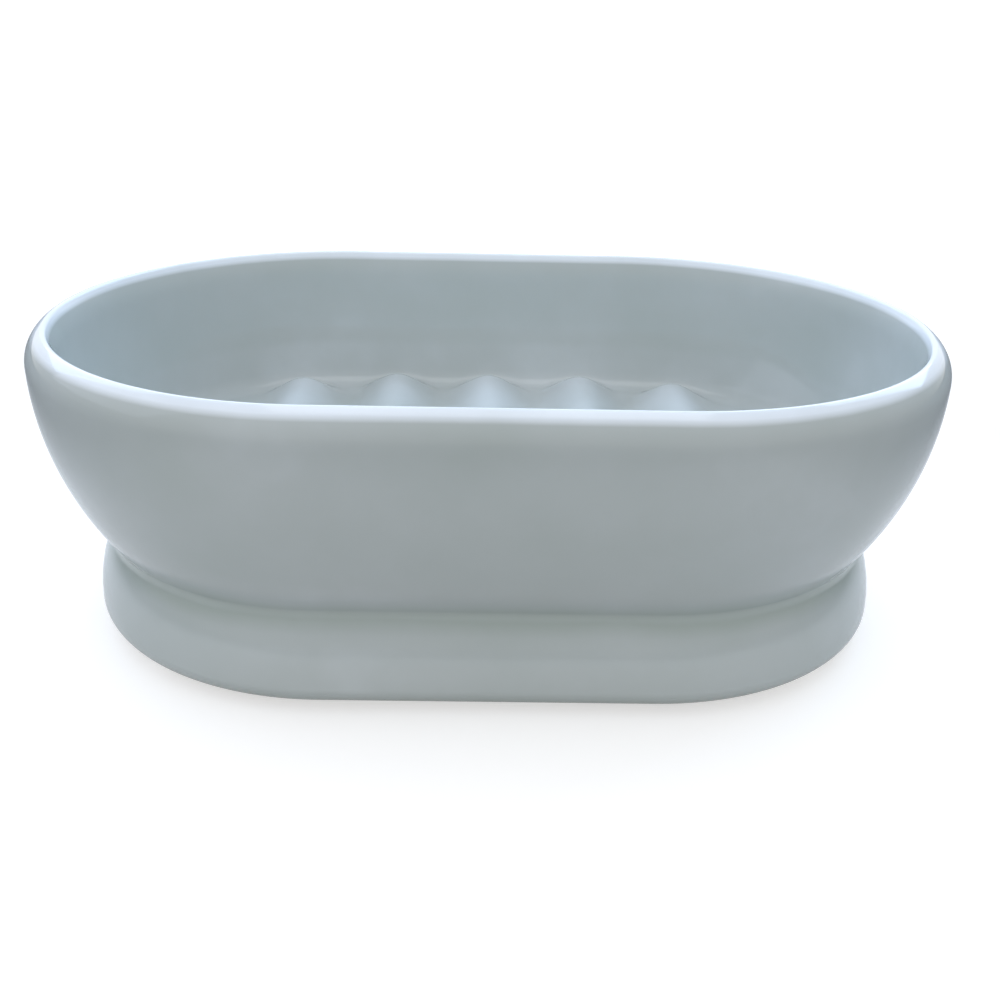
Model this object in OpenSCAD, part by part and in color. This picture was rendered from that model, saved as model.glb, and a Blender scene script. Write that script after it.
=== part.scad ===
// Oval soap dish: a glazed ceramic bowl with moulded drain ribs, luted to a ceramic pedestal foot
// that stands on four small non-slip pads. The origin is on the table, under the middle of the dish.
// X runs along the dish, Y across it and Z up.

/* [Overall] */
// Length over the rim
dish_len = 145; // [125:1:180]
// Width over the rim
dish_w = 95.6; // [90:0.2:105]
// Height from the table to the top of the rim
dish_h = 50; // [47:0.5:56]
// Thickness of the ceramic wall
wall = 4.4; // [3.8:0.1:5]
// Thickness of the bowl's floor
floor_t = 4.4; // [3.5:0.1:6]

/* [Rim] */
// Radius of the rim's outer shoulder
shoulder_r = 5.5; // [5.2:0.1:7]
// Drop from the top of the rim to its widest line
shoulder_drop = 4.8; // [4:0.1:5]

/* [Belly] */
// Radius of the bowl's side, seen from the end
belly_r = 48.1; // [44:0.1:52]

/* [Pedestal] */
// Radius of the hollow moulding between the belly and the foot
cove_r = 2; // [1.5:0.1:4]
// How far the foot's widest line lies inside the rim's
bead_inset = 7.2; // [6:0.1:9]
// Radius of the foot's side
bead_r = 24; // [20:0.5:28]
// Radius of the foot's rounded bottom edge
bead_under_r = 3.3; // [3:0.1:5]
// Width of the flat ring that the foot stands on
foot_land = 6.6; // [6.5:0.1:8]

/* [Inside] */
// Height of the bowl's floor above the table
floor_h = 25.2; // [24.5:0.1:29]
// Radius between the floor and the wall
floor_fillet_r = 4.5; // [3:0.1:6]
// Radius between the floor's underside and the wall
roof_fillet_r = 1.8; // [1:0.1:2.6]

/* [Drain ribs] */
// Number of ribs
rib_count = 5; // [3:2:5]
// Distance from one rib to the next
rib_pitch = 17.6; // [16.8:0.1:18]
// Width of a rib at the floor
rib_w = 16.6; // [12:0.1:16.7]
// Height of a rib above the floor
rib_h = 3.6; // [2.5:0.1:4]
// Radius of a rib's rounded crest
rib_crest_r = 5.5; // [4:0.1:6]
// Distance from the wall to the centre of a rib's rounded end
rib_end_gap = 5.3; // [4.5:0.1:12]
// How much further from the wall the outer ribs stop
outer_rib_setback = 1.6; // [0:0.1:3]

/* [Non-slip pads] */
// Diameter of a pad
pad_d = 6.4; // [5:0.1:6.4]
// Thickness of a pad
pad_t = 1.6; // [1:0.1:2]
// Radius of a pad's lower edge
pad_edge_r = 0.5; // [0.2:0.1:0.9]
// Angle round the foot's end at which a pad is stuck
pad_angle = 45; // [20:1:70]

/* [Hidden] */
// Facets of a full turn of a large round, and of a small one
$fn = 48;
small_facets = 24;
// A quarter turn
quarter = 90;

glaze_colour = [0.78, 0.82, 0.84];
pad_colour = [0.86, 0.88, 0.88];

// Overlap between a rounded slice and the straight-edged core that it joins
lap = 0.3;
// Depth that a rib's flank runs on below the floor, and depth of its root
rib_sink = 0.3;
rib_root = 1;

// The plan: two round ends, joined by straight sides
end_r = dish_w / 2;
straight = dish_len - dish_w;
foot_z = pad_t;
widest_z = dish_h - shoulder_drop;

// Every section below is drawn as [distance from the end's axis, height]
belly_c = [end_r - belly_r, widest_z];
shoulder_c = [end_r - shoulder_r, widest_z];
widest = [end_r, widest_z];

// The lip is the round that touches the shoulder, the top and the inner face
lip_b = 2 * (2 * shoulder_r - wall - shoulder_drop);
lip_c = pow(shoulder_r - wall, 2) + pow(shoulder_drop, 2) - pow(shoulder_r, 2);
lip_r = (sqrt(pow(lip_b, 2) - 4 * lip_c) - lip_b) / 2;
lip_centre = [end_r - wall + lip_r, dish_h - lip_r];
lip_outer = along(shoulder_c, lip_centre, shoulder_r);
lip_inner = [end_r - wall, dish_h - lip_r];

// The foot's side has a large radius, and its bottom edge a small one
bead_z = foot_z + bead_under_r;
bead_edge = [end_r - bead_inset, bead_z];
bead_c = bead_edge - [bead_r, 0];
bead_under_c = bead_edge - [bead_under_r, 0];
foot_outer = [bead_under_c[0], foot_z];
foot_inner = foot_outer - [foot_land, 0];

// The cove rolls between the belly and the bead, and the seam is at its deepest point
cove_c = meeting(belly_c, belly_r + cove_r, bead_c, bead_r + cove_r);
cove_top = along(belly_c, cove_c, belly_r);
cove_bottom = along(bead_c, cove_c, bead_r);
seam_z = cove_c[1];
seam_outer = cove_c - [cove_r, 0];

// The wall's inner face is parallel to the belly
hollow_r = belly_r - wall;
inner_widest = [end_r - wall, widest_z];
floor_fillet_c = corner_centre(floor_h + floor_fillet_r, floor_fillet_r);
floor_wall = along(belly_c, floor_fillet_c, hollow_r);
floor_edge = [floor_fillet_c[0], floor_h];
roof_z = floor_h - floor_t;
// This fillet takes at most half of the height that the wall has between the floor and the seam
roof_r = min(roof_fillet_r, (roof_z - seam_z) / 2);
roof_fillet_c = corner_centre(roof_z - roof_r, roof_r);
roof_wall = along(belly_c, roof_fillet_c, hollow_r);
roof_edge = [roof_fillet_c[0], roof_z];
seam_inner = [inner_at(seam_z), seam_z];

// A rib's bell section is two arcs that meet smoothly
rib_half = rib_w / 2;
rib_rise = rib_h + rib_sink;
rib_top_z = floor_h + rib_h;
rib_base_z = floor_h - rib_sink;
rib_root_z = floor_h - rib_root;
rib_turn = 2 * atan(rib_rise / rib_half);
rib_radii = rib_half / sin(rib_turn);
rib_flank_c = [rib_half, rib_base_z + rib_radii - rib_crest_r];
rib_crest_c = [0, rib_top_z - rib_crest_r];
rib_turning = along(rib_crest_c, rib_flank_c, rib_crest_r);
rib_line_r = inner_at(floor_h) - rib_end_gap;

// The pads are stuck to the middle of the foot's flat ring
pad_ring_r = foot_inner[0] + foot_land / 2;
pad_x = straight / 2 + pad_ring_r * cos(pad_angle);
pad_y = pad_ring_r * sin(pad_angle);

// The point at distance r from a, towards b
function along(a, b, r) = a + (b - a) * r / norm(b - a);
// Distance from the end's axis to the wall's inner face at height z
function inner_at(z) = belly_c[0] + sqrt(pow(hollow_r, 2) - pow(widest_z - z, 2));
// Centre, at height z, of a round of radius r that touches the wall's inner face
function corner_centre(z, r) = [belly_c[0] + sqrt(pow(hollow_r - r, 2) - pow(widest_z - z, 2)), z];
// The outer of the two points at distance ra from a and rb from b
function meeting(a, ra, b, rb) =
    let (gap = norm(b - a), unit = (b - a) / gap)
    let (run = (pow(ra, 2) - pow(rb, 2) + pow(gap, 2)) / (2 * gap), rise = sqrt(pow(ra, 2) - pow(run, 2)))
    a + unit * run + [-unit[1], unit[0]] * rise;
// Half the length of the straight crest of the rib at x
function rib_reach(x) =
    let (past = max(abs(x) - straight / 2, 0))
    sqrt(pow(rib_line_r, 2) - pow(past, 2)) - (past > 0 ? outer_rib_setback : 0);

// The slice between the straight line from corner i to the next corner and the arc that joins them.
// The circle starts a quarter turn or more away from the slice.
module arc_slice(path, i) {
    from = path[i][0];
    to = path[i < len(path) - 1 ? i + 1 : 0][0];
    centre = path[i][1];
    r = norm(from - centre);
    away = centre - (from + to) / 2;
    out = along([0, 0], -away, r);
    in = along([0, 0], away, lap);
    intersection() {
        translate(centre) rotate(quarter * round(atan2(away[1], away[0]) / quarter))
            circle(r, $fn = r < end_r / 2 ? small_facets : $fn);
        polygon([from + in, from + out, to + out, to + in]);
    }
}

// The straight-edged core with the outward arcs of entries 0 to i added
module filled(path, i) {
    if (i < 0) polygon([for (entry = path) entry[0]]);
    else if (path[i][2] == 1) union() {
        filled(path, i - 1);
        arc_slice(path, i);
    }
    else filled(path, i - 1);
}

// The filled core with the inward arcs of entries 0 to i taken out
module carved(path, i) {
    if (i < 0) filled(path, len(path) - 1);
    else if (path[i][2] == -1) difference() {
        carved(path, i - 1);
        arc_slice(path, i);
    }
    else carved(path, i - 1);
}

// An outline of straight and round edges. Each entry is [corner], or [corner, centre, 1] where an arc
// that bulges out runs to the next corner, or [corner, centre, -1] where the arc bulges in.
module outline(path) {
    carved(path, len(path) - 1);
}

// Carries a half section round the oval: on each side of the middle, a straight half and a round end
module oval_sweep() {
    for (side = [0, 1]) mirror([side, 0, 0]) union() {
        translate([straight / 2, 0, 0]) rotate([0, 0, -90]) rotate_extrude(angle = 180) children();
        rotate([90, 0, 90]) linear_extrude(height = straight / 2)
            for (flank = [0, 1]) mirror([flank, 0]) children();
    }
}

module bowl_section() {
    outline([
        [[0, roof_z]],
        [roof_edge, roof_fillet_c, -1],
        [roof_wall, belly_c, -1],
        [seam_inner],
        [seam_outer, cove_c, -1],
        [cove_top, belly_c, 1],
        [widest, shoulder_c, 1],
        [lip_outer, lip_centre, 1],
        [lip_inner],
        [inner_widest, belly_c, -1],
        [floor_wall, floor_fillet_c, -1],
        [floor_edge],
        [[0, floor_h]]
    ]);
}

module rib_section() {
    intersection() {
        outline([
            [[0, rib_root_z]],
            [[rib_half, rib_root_z]],
            [[rib_half, rib_base_z], rib_flank_c, -1],
            [rib_turning, rib_crest_c, 1],
            [[0, rib_top_z]]
        ]);
        translate([0, rib_root_z]) square([rib_half, rib_top_z - rib_root_z]);
    }
}

// One rib: a straight crest with a rounded end at the front and at the back
module rib(reach) {
    rotate([90, 0, 0]) linear_extrude(height = 2 * reach, center = true)
        for (side = [0, 1]) mirror([side, 0]) rib_section();
    for (end = [0, 180]) rotate([0, 0, end]) translate([0, reach, 0])
        rotate_extrude(angle = 180, $fn = small_facets) rib_section();
}

module drain_ribs() {
    middle = (rib_count - 1) / 2;
    for (i = [-middle:middle]) translate([i * rib_pitch, 0, 0]) rib(rib_reach(i * rib_pitch));
}

// The bowl, open below its floor, with the ribs moulded into the floor
module bowl() {
    color(glaze_colour) union() {
        oval_sweep() bowl_section();
        drain_ribs();
    }
}

// The pedestal: half of the cove, the bead and the flat ring, round an open middle
module pedestal() {
    color(glaze_colour) oval_sweep() outline([
        [seam_inner],
        [foot_inner],
        [foot_outer, bead_under_c, 1],
        [bead_edge, bead_c, 1],
        [cove_bottom, cove_c, -1],
        [seam_outer]
    ]);
}

module pad(side_x, side_y) {
    color(pad_colour) translate([side_x * pad_x, side_y * pad_y, 0]) rotate_extrude($fn = small_facets) outline([
        [[0, 0]],
        [[pad_d / 2 - pad_edge_r, 0], [pad_d / 2 - pad_edge_r, pad_edge_r], 1],
        [[pad_d / 2, pad_edge_r]],
        [[pad_d / 2, pad_t]],
        [[0, pad_t]]
    ]);
}

bowl();
pedestal();
pad(-1, -1);  // front_left_pad
pad(1, -1);  // front_right_pad
pad(-1, 1);  // back_left_pad
pad(1, 1);  // back_right_pad
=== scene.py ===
"""Oval soap dish: a glazed bowl with moulded drain ribs, on a pedestal foot with four clear pads."""
import math

import bmesh
import bpy
from mathutils import Matrix, Vector

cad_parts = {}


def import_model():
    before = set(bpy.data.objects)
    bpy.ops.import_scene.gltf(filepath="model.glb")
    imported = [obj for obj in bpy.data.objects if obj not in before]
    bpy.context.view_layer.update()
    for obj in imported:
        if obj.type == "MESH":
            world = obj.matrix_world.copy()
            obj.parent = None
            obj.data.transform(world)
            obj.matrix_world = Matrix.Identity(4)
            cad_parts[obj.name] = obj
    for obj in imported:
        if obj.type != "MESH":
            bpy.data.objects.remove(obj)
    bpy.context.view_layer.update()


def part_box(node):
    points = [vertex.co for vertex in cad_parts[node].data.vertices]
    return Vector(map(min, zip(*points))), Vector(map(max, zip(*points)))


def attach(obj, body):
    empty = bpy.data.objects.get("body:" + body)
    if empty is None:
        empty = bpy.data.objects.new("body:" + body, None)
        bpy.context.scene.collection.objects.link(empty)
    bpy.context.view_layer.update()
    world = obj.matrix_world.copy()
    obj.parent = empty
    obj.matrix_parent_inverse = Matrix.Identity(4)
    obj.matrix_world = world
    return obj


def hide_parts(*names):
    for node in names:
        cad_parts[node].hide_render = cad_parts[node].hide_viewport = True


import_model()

MM = 0.001

# Sizes from the frame, in metres
bowl_low, bowl_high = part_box("bowl")
foot_low, foot_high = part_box("pedestal")
pad_low, pad_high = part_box("front_left_pad")
END_R = (bowl_high.y - bowl_low.y) / 2
STRAIGHT = (bowl_high.x - bowl_low.x) - 2 * END_R
RIM_Z = bowl_high.z
SEAM_Z = foot_high.z
FOOT_Z = foot_low.z
FOOT_R = (foot_high.y - foot_low.y) / 2
PAD_T = pad_high.z
PAD_R = (pad_high.x - pad_low.x) / 2
PAD_X = abs(pad_low.x + pad_high.x) / 2
PAD_Y = abs(pad_low.y + pad_high.y) / 2

# Radii and thicknesses of the sections
WALL = 4.4 * MM
SHOULDER_R = 5.5 * MM
WIDEST_Z = RIM_Z - 4.8 * MM
FLARE_R = 12 * MM
BELLY_R = 48.1 * MM
COVE_R = 2 * MM
BEAD_R = 24 * MM
BEAD_UNDER_R = 3.3 * MM
FOOT_LAND = 6.6 * MM
FLOOR_Z = 25.2 * MM
FLOOR_T = 4.4 * MM
FILLET_R = 4.5 * MM
ROOF_FILLET_R = 1.8 * MM
PAD_EDGE_R = 0.5 * MM

# Drain ribs
RIB_COUNT = 5
RIB_PITCH = 17.6 * MM
RIB_H = 3.6 * MM
RIB_END_GAP = 5.3 * MM
OUTER_RIB_SETBACK = 1.6 * MM

# Glaze colours, as red, green and blue from 0 to 255: the palest is thin glaze that also serves as a
# painted highlight, and the darkest is pooled glaze that also serves as painted shade
THIN_GLAZE_AND_HIGHLIGHT = (229, 238, 247)
GLAZE = (181, 190, 191)
POOLED_GLAZE_AND_SHADE = (166, 177, 174)

# Depths of glaze, from 0 to 1, at which the colours above are reached, and how much a mottle adds; low
# depths also give a painted highlight and high depths painted shade
THIN_AND_HIGHLIGHT_AT = 0.15
BODY_AT = 0.65
POOLED_AND_SHADE_AT = 12 / 13
MOTTLE = 0.35

# Lowest and highest roughness of the glaze
GLAZE_ROUGHNESS = (0.03, 0.09)

# Depth of glaze on the ribs' crests, between the ribs and on the walls, and what a corner adds; the
# thinner crests are also a painted highlight, and the corner's extra depth is painted shade
CREST_POOL_AND_HIGHLIGHT = 0.3
WELL_POOL = 0.46
WALL_POOL = 0.5
CORNER_PAINTED_SHADE = 0.3

# The glaze is thin on the lip and painted pale there as a painted highlight, above a line that fades over
# a short way
LIP_HIGHLIGHT_Z = RIM_Z - 1.05 * MM
LIP_HIGHLIGHT_FADE = 0.3 * MM

# Darkest and palest colours of the bare clay and of the clear pads
CLAY_COLOURS = ((188, 184, 176), (212, 209, 202))
PAD_COLOURS = ((222, 228, 228), (238, 241, 241))

# Scattered light from all round and from the front, and where the front begins and is full
FILL = (0.63, 0.65, 0.69)
FRONT_FILL = (1.27, 1.23, 1.19)
FRONT_EDGES = (-0.3, -0.95)

# Mirrored light from the room, as a share of white, and where the white behind begins and is full
ROOM = 0.35
BACK_EDGES = (0.4, 0.85)

# Share of the rear lamps that lights more than the sheen, and the point that all lamps face
REAR_SCATTERED = 0.45
LAMP_AIM = (0, 0, 0.03)

# The white sweep under the dish: its half width, its brightness, its glow beside the dish, and the
# share of that glow in mirrored light
SWEEP = 0.16
SWEEP_ALBEDO = 0.6
SWEEP_GLOW = 0.55
SWEEP_MIRRORED = 0.5

# The table under the sweep: its half width, its brightness, and where its glow begins and is full
FLOOR_HALF = 6.0
TABLE_ALBEDO = 0.2
GLOW_EDGES = (80 * MM, 500 * MM)

# Mesh steps and limits
END_STEPS = 96
STRAIGHT_STEPS = 80
PAD_STEPS = 64
ARC_STEP = math.radians(6)
FINE_STEP = math.radians(2)
FLOOR_STEP = 0.6 * MM
SHARP_ANGLE = math.radians(35)
WELD = 0.0005 * MM
SLACK = 0.01 * MM
HALVINGS = 40


# Sections, as points (distance from the end's axis, height)

def point_on(centre, r, angle):
    return (centre[0] + r * math.cos(angle), centre[1] + r * math.sin(angle))


def angle_of(centre, point):
    return math.atan2(point[1] - centre[1], point[0] - centre[0])


def along(a, b, r):
    """The point at distance r from a, towards b."""
    gap = math.dist(a, b)
    return (a[0] + (b[0] - a[0]) * r / gap, a[1] + (b[1] - a[1]) * r / gap)


def arc(centre, start, end, step=ARC_STEP):
    """Points from start to end, round centre, by the short way."""
    r = math.dist(centre, start)
    first = angle_of(centre, start)
    turn = (angle_of(centre, end) - first + math.pi) % (2 * math.pi) - math.pi
    steps = max(2, math.ceil(abs(turn) / step))
    return [point_on(centre, r, first + turn * i / steps) for i in range(steps + 1)]


def line(start, end, step):
    steps = max(1, math.ceil(math.dist(start, end) / step))
    return [(start[0] + (end[0] - start[0]) * i / steps, start[1] + (end[1] - start[1]) * i / steps)
            for i in range(steps + 1)]


def joined(*runs):
    """One list of points, with the shared end points taken once."""
    points = list(runs[0])
    for run in runs[1:]:
        points += run[1:]
    return points


def meeting(a, ra, b, rb):
    """The outer of the two points at distance ra from a and rb from b."""
    gap = math.dist(a, b)
    ux, uz = (b[0] - a[0]) / gap, (b[1] - a[1]) / gap
    run = (ra ** 2 - rb ** 2 + gap ** 2) / (2 * gap)
    rise = math.sqrt(ra ** 2 - run ** 2)
    return (a[0] + ux * run - uz * rise, a[1] + uz * run + ux * rise)


belly_c = (END_R - BELLY_R, WIDEST_Z)
shoulder_c = (END_R - SHOULDER_R, WIDEST_Z)
flare_c = (END_R - WALL + FLARE_R, WIDEST_Z)


def lip_centre_for(r):
    """Centre of a lip of radius r that touches the top and the shoulder."""
    rise = RIM_Z - r - WIDEST_Z
    return (shoulder_c[0] + math.sqrt((SHOULDER_R - r) ** 2 - rise ** 2), WIDEST_Z + rise)


def lip_radius():
    """Radius at which the lip touches the flare of the inner face too, found by halving."""
    small, large = 0, (SHOULDER_R + WIDEST_Z - RIM_Z) * 2
    for _ in range(HALVINGS):
        r = (small + large) / 2
        if math.dist(lip_centre_for(r), flare_c) > FLARE_R - r:
            large = r
        else:
            small = r
    return r


lip_centre = lip_centre_for(lip_radius())
lip_outer = along(shoulder_c, lip_centre, SHOULDER_R)
lip_inner = along(flare_c, lip_centre, FLARE_R)

bead_edge = (FOOT_R, FOOT_Z + BEAD_UNDER_R)
bead_c = (FOOT_R - BEAD_R, bead_edge[1])
bead_under_c = (FOOT_R - BEAD_UNDER_R, bead_edge[1])
foot_outer = (bead_under_c[0], FOOT_Z)
foot_inner = (foot_outer[0] - FOOT_LAND, FOOT_Z)

cove_c = meeting(belly_c, BELLY_R + COVE_R, bead_c, BEAD_R + COVE_R)
cove_top = along(belly_c, cove_c, BELLY_R)
cove_bottom = along(bead_c, cove_c, BEAD_R)
seam_outer = (cove_c[0] - COVE_R, cove_c[1])

hollow_r = BELLY_R - WALL


def inner_at(z):
    return belly_c[0] + math.sqrt(hollow_r ** 2 - (WIDEST_Z - z) ** 2)


def corner_centre(z, r):
    return (belly_c[0] + math.sqrt((hollow_r - r) ** 2 - (WIDEST_Z - z) ** 2), z)


fillet_c = corner_centre(FLOOR_Z + FILLET_R, FILLET_R)
floor_wall = along(belly_c, fillet_c, hollow_r)
floor_edge = (fillet_c[0], FLOOR_Z)
roof_z = FLOOR_Z - FLOOR_T
roof_c = corner_centre(roof_z - ROOF_FILLET_R, ROOF_FILLET_R)
roof_wall = along(belly_c, roof_c, hollow_r)
roof_edge = (roof_c[0], roof_z)
seam_inner = (inner_at(cove_c[1]), cove_c[1])

rib_line_r = inner_at(FLOOR_Z) - RIB_END_GAP


def rib_wave(distance):
    """Height of a rib at a distance from its crest line: a wave that ends half a pitch away."""
    share = min(2 * distance / RIB_PITCH, 1)
    return RIB_H / 2 * (1 + math.cos(math.pi * share))


def rib_height(x, y):
    """Height of the ribs above the floor at a place in the bowl."""
    middle = (RIB_COUNT - 1) / 2
    height = 0.0
    for i in range(RIB_COUNT):
        rib_x = (i - middle) * RIB_PITCH
        past = max(abs(rib_x) - STRAIGHT / 2, 0)
        reach = math.sqrt(rib_line_r ** 2 - past ** 2)
        if past > 0:
            reach -= OUTER_RIB_SETBACK
        distance = math.hypot(x - rib_x, max(abs(y) - reach, 0))
        height = max(height, rib_wave(distance))
    return height


def end_distance(x, y):
    """Distance of a place from the oval's middle line."""
    return math.hypot(max(abs(x) - STRAIGHT / 2, 0), y)


# Meshes: a section is carried round the oval plan, ring by ring

def oval_plan():
    """Places round the oval, as (centre x, angle)."""
    places = [(STRAIGHT / 2, -math.pi / 2 + math.pi * i / END_STEPS) for i in range(END_STEPS)]
    places += [(STRAIGHT / 2 - STRAIGHT * i / STRAIGHT_STEPS, math.pi / 2) for i in range(STRAIGHT_STEPS)]
    return places + [(-x, angle + math.pi) for x, angle in places]


def band(bm, low, high):
    """A band of faces between two rings of points."""
    for i in range(len(low)):
        j = (i + 1) % len(low)
        bm.faces.new((low[i], low[j], high[j], high[i]))


def finished_mesh(bm, name):
    """A mesh with points that share a place made one, and its sides turned outwards."""
    bmesh.ops.remove_doubles(bm, verts=bm.verts, dist=WELD)
    bmesh.ops.recalc_face_normals(bm, faces=bm.faces)
    mesh = bpy.data.meshes.new(name)
    bm.to_mesh(mesh)
    bm.free()
    mesh.shade_smooth()
    mesh.set_sharp_from_angle(angle=SHARP_ANGLE)
    return mesh


def oval_mesh(name, section, raised=None):
    """A closed mesh from a section, and raised(x, y, z) may lift its points."""
    bm = bmesh.new()
    plan = oval_plan()
    rings = []
    for rho, z in section:
        ring = []
        for centre_x, angle in plan:
            x = centre_x + rho * math.cos(angle)
            y = rho * math.sin(angle)
            ring.append(bm.verts.new((x, y, raised(x, y, z) if raised else z)))
        rings.append(ring)
    for k, low in enumerate(rings):
        after = (k + 1) % len(rings)
        # Between two rings on the middle line, a face would stand inside the clay
        if section[k][0] > 0 or section[after][0] > 0:
            band(bm, low, rings[after])
    return finished_mesh(bm, name)


def piece_from(mesh, node):
    piece = bpy.data.objects.new(mesh.name, mesh)
    bpy.context.scene.collection.objects.link(piece)
    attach(piece, "root")
    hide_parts(node)
    return piece


bowl_outside = joined(
    arc(cove_c, seam_outer, cove_top, FINE_STEP),
    arc(belly_c, cove_top, (END_R, WIDEST_Z), FINE_STEP),
    arc(shoulder_c, (END_R, WIDEST_Z), lip_outer),
    arc(lip_centre, lip_outer, lip_inner, 2 * ARC_STEP),
    arc(flare_c, lip_inner, (END_R - WALL, WIDEST_Z), FINE_STEP),
    arc(belly_c, (END_R - WALL, WIDEST_Z), floor_wall, FINE_STEP),
    arc(fillet_c, floor_wall, floor_edge),
    line(floor_edge, (0, FLOOR_Z), FLOOR_STEP),
)
bowl_inside = joined(
    line((0, roof_z), roof_edge, 5 * MM),
    arc(roof_c, roof_edge, roof_wall, 2 * ARC_STEP),
    arc(belly_c, roof_wall, seam_inner, FINE_STEP),
)


def in_well(x, y, z):
    """Whether a point lies on the floor of the bowl or low on its inner wall."""
    low_down = FLOOR_Z - SLACK < z < FLOOR_Z + FILLET_R + RIB_H
    return low_down and end_distance(x, y) < inner_at(z) + SLACK


def with_ribs(x, y, z):
    """Height of a point once the floor and its fillet rise to the ribs, with no crease between them."""
    if in_well(x, y, z):
        return FLOOR_Z + math.hypot(z - FLOOR_Z, rib_height(x, y))
    return z


def near(z, middle, reach):
    """A number that is 1 at middle and falls off over reach."""
    return math.exp(-((z - middle) / reach) ** 2)


def bowl_pool_and_light(x, y, z):
    """Depth of the bowl's glaze: least on the lip and less on the ribs' crests, which is thin glaze and a
    painted highlight, and most in the cove, as painted shade.
    """
    if z > WIDEST_Z:
        # The lip is painted pale: thin glaze and a painted highlight
        return WALL_POOL * min(max((LIP_HIGHLIGHT_Z - z) / LIP_HIGHLIGHT_FADE, 0), 1)
    if in_well(x, y, z):
        # Paler towards the crests: thinner glaze and a painted highlight
        return WELL_POOL + (CREST_POOL_AND_HIGHLIGHT - WELL_POOL) * rib_height(x, y) / RIB_H
    # Deeper and darker in the cove: painted shade
    return WALL_POOL + CORNER_PAINTED_SHADE * near(z, SEAM_Z, COVE_R)


def foot_pool_and_shade(x, y, z):
    """Depth of the foot's glaze: most in the cove and at its lower edge, where it is painted shade."""
    # Painted shade in the cove and at the foot's lower edge
    corners = near(z, SEAM_Z, COVE_R) + near(z, FOOT_Z, BEAD_UNDER_R / 2)
    return WALL_POOL + CORNER_PAINTED_SHADE * corners


def store_pools_and_light(mesh, pool_and_light):
    """Keeps each point's depth of glaze, with its painted highlight and shade, on the mesh, for the glaze
    material.
    """
    shares = mesh.attributes.new("glaze_pool_and_light", "FLOAT", "POINT")
    for vertex, share in zip(mesh.vertices, shares.data):
        share.value = min(max(pool_and_light(*vertex.co), 0), 1)


def bowl_mesh():
    mesh = oval_mesh("bowl_glazed", bowl_outside + bowl_inside, with_ribs)
    store_pools_and_light(mesh, bowl_pool_and_light)
    return mesh


def pedestal_mesh():
    section = joined(
        arc(cove_c, seam_outer, cove_bottom, FINE_STEP),
        arc(bead_c, cove_bottom, bead_edge),
        arc(bead_under_c, bead_edge, foot_outer),
        line(foot_outer, foot_inner, 1 * MM),
        line(foot_inner, seam_inner, 2 * MM),
    )
    mesh = oval_mesh("pedestal_glazed", section)
    store_pools_and_light(mesh, foot_pool_and_shade)
    return mesh


def bare_ring(mesh):
    """Gives the flat ring under the foot its second material, where no glaze is laid."""
    for face in mesh.polygons:
        if face.center.z < FOOT_Z + SLACK:
            face.material_index = 1


def pad_ring(bm, middle, rho, z):
    """Points round a pad's middle."""
    angles = [2 * math.pi * i / PAD_STEPS for i in range(PAD_STEPS)]
    return [bm.verts.new((middle[0] + rho * math.cos(angle), middle[1] + rho * math.sin(angle), z))
            for angle in angles]


def pad_mesh(name, middle):
    edge = PAD_R - PAD_EDGE_R
    section = joined(
        [(0, 0), (edge, 0)],
        arc((edge, PAD_EDGE_R), (edge, 0), (PAD_R, PAD_EDGE_R), 2 * ARC_STEP),
        [(PAD_R, PAD_EDGE_R), (PAD_R, PAD_T), (0, PAD_T)],
    )
    bm = bmesh.new()
    rings = [pad_ring(bm, middle, rho, z) for rho, z in section]
    for low, high in zip(rings, rings[1:]):
        band(bm, low, high)
    return finished_mesh(bm, name + "_clear")


# Materials

def new_material(name):
    material = bpy.data.materials.new(name)
    material.use_nodes = True
    nodes = material.node_tree.nodes
    return material, nodes, material.node_tree.links, nodes["Principled BSDF"]


def srgb(red, green, blue):
    def linear(v):
        v /= 255
        return v / 12.92 if v <= 0.04045 else ((v + 0.055) / 1.055) ** 2.4
    return (linear(red), linear(green), linear(blue), 1)


def math_node(nodes, links, operation, *values):
    """A node that works on numbers and on other nodes' outputs."""
    node = nodes.new("ShaderNodeMath")
    node.operation = operation
    for value, socket in zip(values, node.inputs):
        if isinstance(value, (int, float)):
            socket.default_value = value
        else:
            links.new(value, socket)
    return node.outputs[0]


def noise(nodes, links, wavelength, detail, seed):
    coords = nodes.new("ShaderNodeTexCoord")
    place = nodes.new("ShaderNodeMapping")
    place.inputs["Location"].default_value = (seed, seed / 2, seed / 3)
    links.new(coords.outputs["Object"], place.inputs["Vector"])
    texture = nodes.new("ShaderNodeTexNoise")
    texture.inputs["Scale"].default_value = 1 / wavelength
    texture.inputs["Detail"].default_value = detail
    links.new(place.outputs["Vector"], texture.inputs["Vector"])
    return texture.outputs["Fac"]


def colours(nodes, links, shader, value, first, last):
    """Gives the shader a colour that goes from first to last with value, and returns the ramp."""
    ramp = nodes.new("ShaderNodeValToRGB")
    ramp.color_ramp.elements[0].color = srgb(*first)
    ramp.color_ramp.elements[1].color = srgb(*last)
    links.new(value, ramp.inputs["Fac"])
    links.new(ramp.outputs["Color"], shader.inputs["Base Color"])
    return ramp.color_ramp


def bumps(nodes, links, shader, height, strength, depth):
    bump = nodes.new("ShaderNodeBump")
    bump.inputs["Strength"].default_value = strength
    bump.inputs["Distance"].default_value = depth
    links.new(height, bump.inputs["Height"])
    links.new(bump.outputs["Normal"], shader.inputs["Normal"])


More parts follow.
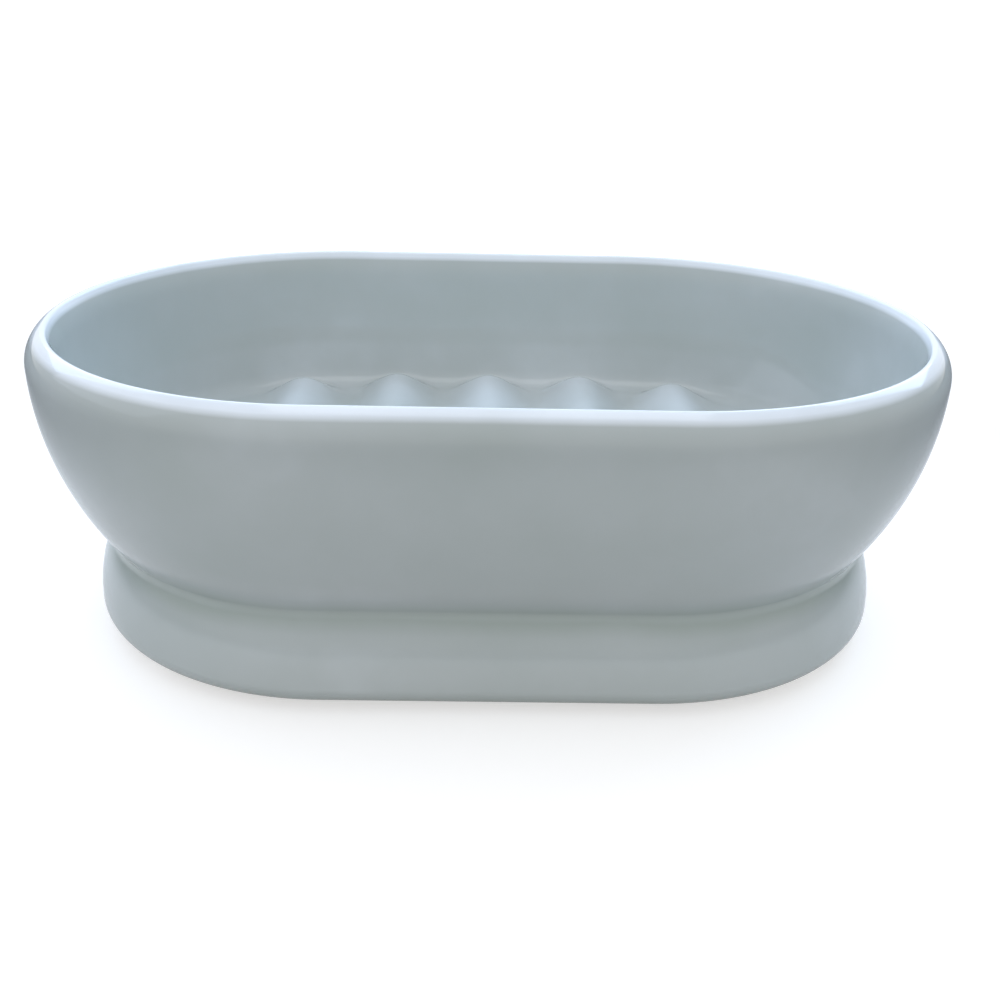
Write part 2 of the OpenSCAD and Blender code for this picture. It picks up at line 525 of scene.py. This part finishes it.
def glaze_material():
    """Pale grey-green glaze: paler with thin glaze and a painted highlight on the lip and crests, deeper
    with painted shade in the coves, with a mottle, a soft ripple and a clear shine.
    """
    material, nodes, links, shader = new_material("glaze")
    pool_and_light = nodes.new("ShaderNodeAttribute")
    pool_and_light.attribute_name = "glaze_pool_and_light"
    mottle = noise(nodes, links, wavelength=22 * MM, detail=4, seed=1.7)
    depth = math_node(nodes, links, "MULTIPLY_ADD", mottle, MOTTLE, pool_and_light.outputs["Fac"])
    ramp = colours(nodes, links, shader, depth, THIN_GLAZE_AND_HIGHLIGHT, POOLED_GLAZE_AND_SHADE)
    ramp.elements[0].position = THIN_AND_HIGHLIGHT_AT
    ramp.elements[1].position = POOLED_AND_SHADE_AT
    body = ramp.elements.new(BODY_AT)
    body.color = srgb(*GLAZE)
    smears = noise(nodes, links, wavelength=14 * MM, detail=3, seed=7.3)
    shine = nodes.new("ShaderNodeMapRange")
    shine.inputs["To Min"].default_value = GLAZE_ROUGHNESS[0]
    shine.inputs["To Max"].default_value = GLAZE_ROUGHNESS[1]
    links.new(smears, shine.inputs["Value"])
    links.new(shine.outputs["Result"], shader.inputs["Roughness"])
    shader.inputs["IOR"].default_value = 1.48
    ripple = noise(nodes, links, wavelength=12 * MM, detail=1, seed=4.1)
    bumps(nodes, links, shader, ripple, strength=0.2, depth=0.04 * MM)
    return material


def bare_clay_material():
    """The unglazed ring: matt, off-white and finely grained."""
    material, nodes, links, shader = new_material("bare_clay")
    grain = noise(nodes, links, wavelength=0.5 * MM, detail=5, seed=2.9)
    colours(nodes, links, shader, grain, *CLAY_COLOURS)
    shader.inputs["Roughness"].default_value = 0.85
    bumps(nodes, links, shader, grain, strength=0.4, depth=0.05 * MM)
    return material


def pad_material():
    """Clear soft plastic, slightly cloudy, with a fine skin."""
    material, nodes, links, shader = new_material("pad")
    cloud = noise(nodes, links, wavelength=2 * MM, detail=3, seed=5.2)
    colours(nodes, links, shader, cloud, *PAD_COLOURS)
    shader.inputs["Roughness"].default_value = 0.25
    shader.inputs["Transmission Weight"].default_value = 0.3
    shader.inputs["IOR"].default_value = 1.45
    bumps(nodes, links, shader, cloud, strength=0.2, depth=0.05 * MM)
    return material


glaze = glaze_material()
bare_clay = bare_clay_material()
clear = pad_material()

bowl = piece_from(bowl_mesh(), "bowl")
pedestal = piece_from(pedestal_mesh(), "pedestal")
bowl.data.materials.append(glaze)
pedestal.data.materials.append(glaze)
pedestal.data.materials.append(bare_clay)
bare_ring(pedestal.data)
for side, pad_x in (("left", -PAD_X), ("right", PAD_X)):
    for row, pad_y in (("front", -PAD_Y), ("back", PAD_Y)):
        node = row + "_" + side + "_pad"
        pad = piece_from(pad_mesh(node, (pad_x, pad_y)), node)
        pad.data.materials.append(clear)


# Stage, light and camera

def smooth_step(nodes, links, value, edges, ends):
    """A number that goes smoothly from the first of ends to the last as value crosses the edges."""
    step = nodes.new("ShaderNodeMapRange")
    step.interpolation_type = "SMOOTHSTEP"
    links.new(value, step.inputs["Value"])
    for name, number in zip(("From Min", "From Max", "To Min", "To Max"), (*edges, *ends)):
        step.inputs[name].default_value = number
    return step.outputs["Result"]


def seen_light(nodes, links, room):
    """Share of the white background: all of it for the camera, room's share in shiny or clear pieces."""
    path = nodes.new("ShaderNodeLightPath")
    shiny = path.outputs["Is Glossy Ray"]
    through = path.outputs["Is Transmission Ray"]
    mirrored = math_node(nodes, links, "MAXIMUM", shiny, through)
    in_room = math_node(nodes, links, "MULTIPLY", mirrored, room)
    return math_node(nodes, links, "MAXIMUM", path.outputs["Is Camera Ray"], in_room)


def floor_glow(nodes, links, on_sweep, away):
    """Light that lifts the floor to white, least beside the dish, so that its shadow stays."""
    beside = math_node(nodes, links, "SUBTRACT", 1, on_sweep)
    far = smooth_step(nodes, links, away, GLOW_EDGES, (SWEEP_GLOW, 1))
    rise = math_node(nodes, links, "MAXIMUM", far, beside)
    mirrored = math_node(nodes, links, "MULTIPLY", on_sweep, SWEEP_MIRRORED)
    lift = math_node(nodes, links, "MULTIPLY", seen_light(nodes, links, mirrored), rise)
    glow = nodes.new("ShaderNodeEmission")
    links.new(lift, glow.inputs["Strength"])
    return glow.outputs[0]


def floor_material():
    """A white sweep that is no wider than the picture, on a darker table."""
    material = bpy.data.materials.new("floor")
    material.use_nodes = True
    nodes, links = material.node_tree.nodes, material.node_tree.links
    nodes.clear()
    coords = nodes.new("ShaderNodeTexCoord")
    place = nodes.new("ShaderNodeSeparateXYZ")
    links.new(coords.outputs["Object"], place.inputs[0])
    away = nodes.new("ShaderNodeVectorMath")
    away.operation = "LENGTH"
    links.new(coords.outputs["Object"], away.inputs[0])
    sideways = math_node(nodes, links, "ABSOLUTE", place.outputs["X"])
    forward = math_node(nodes, links, "MULTIPLY", place.outputs["Y"], -1)
    aside = math_node(nodes, links, "MAXIMUM", sideways, forward)
    edges = (SWEEP / 2, SWEEP)
    albedo = smooth_step(nodes, links, aside, edges, (SWEEP_ALBEDO, TABLE_ALBEDO))
    diffuse = nodes.new("ShaderNodeBsdfDiffuse")
    links.new(albedo, diffuse.inputs["Color"])
    on_sweep = smooth_step(nodes, links, aside, edges, (1, 0))
    both = nodes.new("ShaderNodeAddShader")
    links.new(diffuse.outputs[0], both.inputs[0])
    links.new(floor_glow(nodes, links, on_sweep, away.outputs["Value"]), both.inputs[1])
    out = nodes.new("ShaderNodeOutputMaterial")
    links.new(both.outputs[0], out.inputs["Surface"])
    return material


def floor():
    half = FLOOR_HALF
    corners = [(-half, -half, 0), (half, -half, 0), (half, half, 0), (-half, half, 0)]
    mesh = bpy.data.meshes.new("floor")
    mesh.from_pydata(corners, [], [(0, 1, 2, 3)])
    mesh.materials.append(floor_material())
    plane = bpy.data.objects.new("floor", mesh)
    bpy.context.scene.collection.objects.link(plane)


def lamp(name, place, size, brightness, colour):
    """A rectangular lamp that faces the dish, where a brightness of 1 looks white."""
    light = bpy.data.lights.new(name, "AREA")
    light.shape = "RECTANGLE"
    light.size, light.size_y = size
    light.energy = brightness * math.pi * size[0] * size[1]
    light.color = colour
    holder = bpy.data.objects.new(name, light)
    holder.location = place
    towards = Vector(LAMP_AIM) - Vector(place)
    holder.rotation_euler = towards.to_track_quat("-Z", "Y").to_euler()
    bpy.context.scene.collection.objects.link(holder)
    return holder


def softbox(name, place, size, brightness, colour, scattered=1):
    """A lamp of which only the scattered share lights more than the sheen."""
    lamp(name, place, size, brightness * scattered, colour)
    if scattered < 1:
        sheen = lamp(name + "_sheen", place, size, brightness * (1 - scattered), colour)
        sheen.visible_diffuse = False


def fill_light(nodes, links, ahead):
    """The light that matt colours take up, fullest from the front."""
    ramp = nodes.new("ShaderNodeValToRGB")
    ramp.color_ramp.elements[0].color = (*FILL, 1)
    ramp.color_ramp.elements[1].color = (*FRONT_FILL, 1)
    links.new(smooth_step(nodes, links, ahead, FRONT_EDGES, (0, 1)), ramp.inputs["Fac"])
    fill = nodes["Background"]
    links.new(ramp.outputs["Color"], fill.inputs["Color"])
    return fill.outputs[0]


def white_light(nodes, links, ahead):
    """White for the camera. In mirrored light it is white behind the dish and a dimmer room elsewhere."""
    mirrored = smooth_step(nodes, links, ahead, BACK_EDGES, (ROOM, 1))
    path = nodes.new("ShaderNodeLightPath")
    shown = math_node(nodes, links, "MAXIMUM", mirrored, path.outputs["Is Camera Ray"])
    white = nodes.new("ShaderNodeBackground")
    white.inputs["Color"].default_value = (1, 1, 1, 1)
    links.new(shown, white.inputs["Strength"])
    return white.outputs[0]


def world():
    new_world = bpy.data.worlds.new("studio")
    bpy.context.scene.world = new_world
    new_world.use_nodes = True
    nodes, links = new_world.node_tree.nodes, new_world.node_tree.links
    coords = nodes.new("ShaderNodeTexCoord")
    direction = nodes.new("ShaderNodeSeparateXYZ")
    links.new(coords.outputs["Generated"], direction.inputs[0])
    ahead = direction.outputs["Y"]
    mix = nodes.new("ShaderNodeMixShader")
    links.new(seen_light(nodes, links, 1), mix.inputs["Fac"])
    links.new(fill_light(nodes, links, ahead), mix.inputs[1])
    links.new(white_light(nodes, links, ahead), mix.inputs[2])
    links.new(mix.outputs[0], nodes["World Output"].inputs["Surface"])


def camera():
    """The photograph's camera: where it stands, where it looks and how it is turned."""
    turn = math.radians(1.182)
    pitch = math.radians(23.854)
    roll = math.radians(-1.351)
    aim = Vector((0, 0, 26.74 * MM))
    across, above, distance = -1.89 * MM, 8.56 * MM, 205.28 * MM
    lens = 43.85
    flat = Vector((math.cos(turn), -math.sin(turn), 0))
    ahead = Vector((math.sin(turn) * math.cos(pitch), math.cos(turn) * math.cos(pitch), -math.sin(pitch)))
    upright = flat.cross(ahead)
    right = math.cos(roll) * flat - math.sin(roll) * upright
    up = math.sin(roll) * flat + math.cos(roll) * upright
    place = aim - across * right - above * up - distance * ahead
    data = bpy.data.cameras.new("camera")
    data.lens = lens
    data.sensor_width = 36
    data.clip_start = 10 * MM
    cam = bpy.data.objects.new("camera", data)
    cam.matrix_world = Matrix((
        (right.x, up.x, -ahead.x, place.x),
        (right.y, up.y, -ahead.y, place.y),
        (right.z, up.z, -ahead.z, place.z),
        (0, 0, 0, 1),
    ))
    bpy.context.scene.collection.objects.link(cam)
    bpy.context.scene.camera = cam


floor()
world()
softbox("back", (0, 1, 0.85), (2, 0.8), 2.6, (0.5, 0.73, 1), REAR_SCATTERED)
softbox("back_right", (0.75, 0.75, 0.8), (0.8, 0.8), 6, (0.56, 0.75, 1), REAR_SCATTERED)
softbox("back_left", (-0.75, 0.75, 0.8), (0.8, 0.8), 4, (0.62, 0.78, 1), REAR_SCATTERED)
softbox("left", (-1.1, 0, 0.7), (1.2, 0.9), 0.7, (0.83, 0.86, 1))
softbox("top", (0, 0, 1.1), (0.6, 0.6), 1.5, (0.95, 0.97, 1))
camera()
bpy.context.scene.view_settings.view_transform = "Standard"
